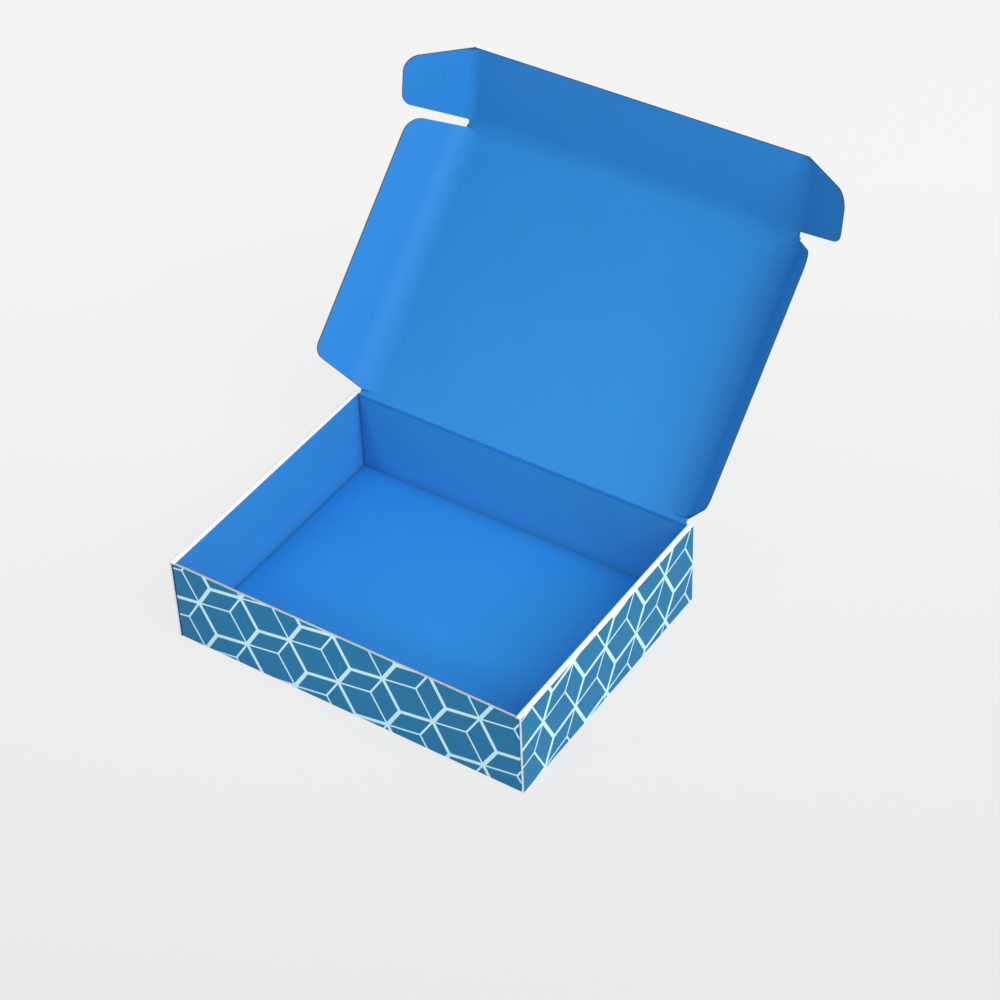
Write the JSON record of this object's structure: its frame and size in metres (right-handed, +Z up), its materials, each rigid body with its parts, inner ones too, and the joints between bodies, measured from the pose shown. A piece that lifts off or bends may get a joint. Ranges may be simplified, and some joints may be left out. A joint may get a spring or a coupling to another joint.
{
  "type": "corrugated mailer box",
  "caption": "Shallow roll-end corrugated mailer box standing open, with a hinged lid, side dust flaps and an eared tuck panel.",
  "frame": {"origin": "centre of the tray's underside", "axes": "+Z up, front wall towards -Y, lid hinge along X at the back"},
  "size_m": [0.3708, 0.4032, 0.2984],
  "materials": {
    "printed_board": "matt flood print on white-lined fine-flute board"
  },
  "bodies": {
    "tray": {"tray": "printed_board"},
    "lid": {"lid": "printed_board"},
    "tuck": {"tuck_panel": "printed_board"},
    "dust_flap_left": {"dust_flap_left": "printed_board"},
    "dust_flap_right": {"dust_flap_right": "printed_board"},
    "ear_left": {"ear_left": "printed_board"},
    "ear_right": {"ear_right": "printed_board"}
  },
  "joints": [
    {"name": "lid_hinge", "type": "hinge", "parent": "tray", "child": "lid", "pos_m": [0, 0.1147, 0.0742], "axis": [1, 0, 0], "range_deg": [-48, 136]},
    {"name": "tuck_fold", "type": "hinge", "parent": "lid", "child": "tuck", "pos_m": [0, 0.27677, 0.23071], "axis": [1, 0, 0], "range_deg": [-24, 68]},
    {"name": "dust_flap_left_fold", "type": "hinge", "parent": "lid", "child": "dust_flap_left", "pos_m": [-0.1463, 0.1147, 0.0742], "axis": [0, 0.7193, 0.6947], "range_deg": [-29, 80]},
    {"name": "dust_flap_right_fold", "type": "hinge", "parent": "lid", "child": "dust_flap_right", "pos_m": [0.1463, 0.1147, 0.0742], "axis": [0, -0.7193, -0.6947], "range_deg": [-29, 80]},
    {"name": "ear_left_fold", "type": "hinge", "parent": "tuck", "child": "ear_left", "pos_m": [-0.1451, 0.27677, 0.23071], "axis": [0, 0.1564, 0.9877], "range_deg": [-15, 42]},
    {"name": "ear_right_fold", "type": "hinge", "parent": "tuck", "child": "ear_right", "pos_m": [0.1451, 0.27677, 0.23071], "axis": [0, -0.1564, -0.9877], "range_deg": [-22, 62]}
  ],
  "couplings": [
    {"joint": "tuck_fold", "follows": "lid_hinge", "ratio": 0.498},
    {"joint": "dust_flap_left_fold", "follows": "lid_hinge", "ratio": 0.585},
    {"joint": "ear_left_fold", "follows": "lid_hinge", "ratio": 0.307},
    {"joint": "dust_flap_right_fold", "follows": "lid_hinge", "ratio": 0.585},
    {"joint": "ear_right_fold", "follows": "lid_hinge", "ratio": 0.453}
  ]
}
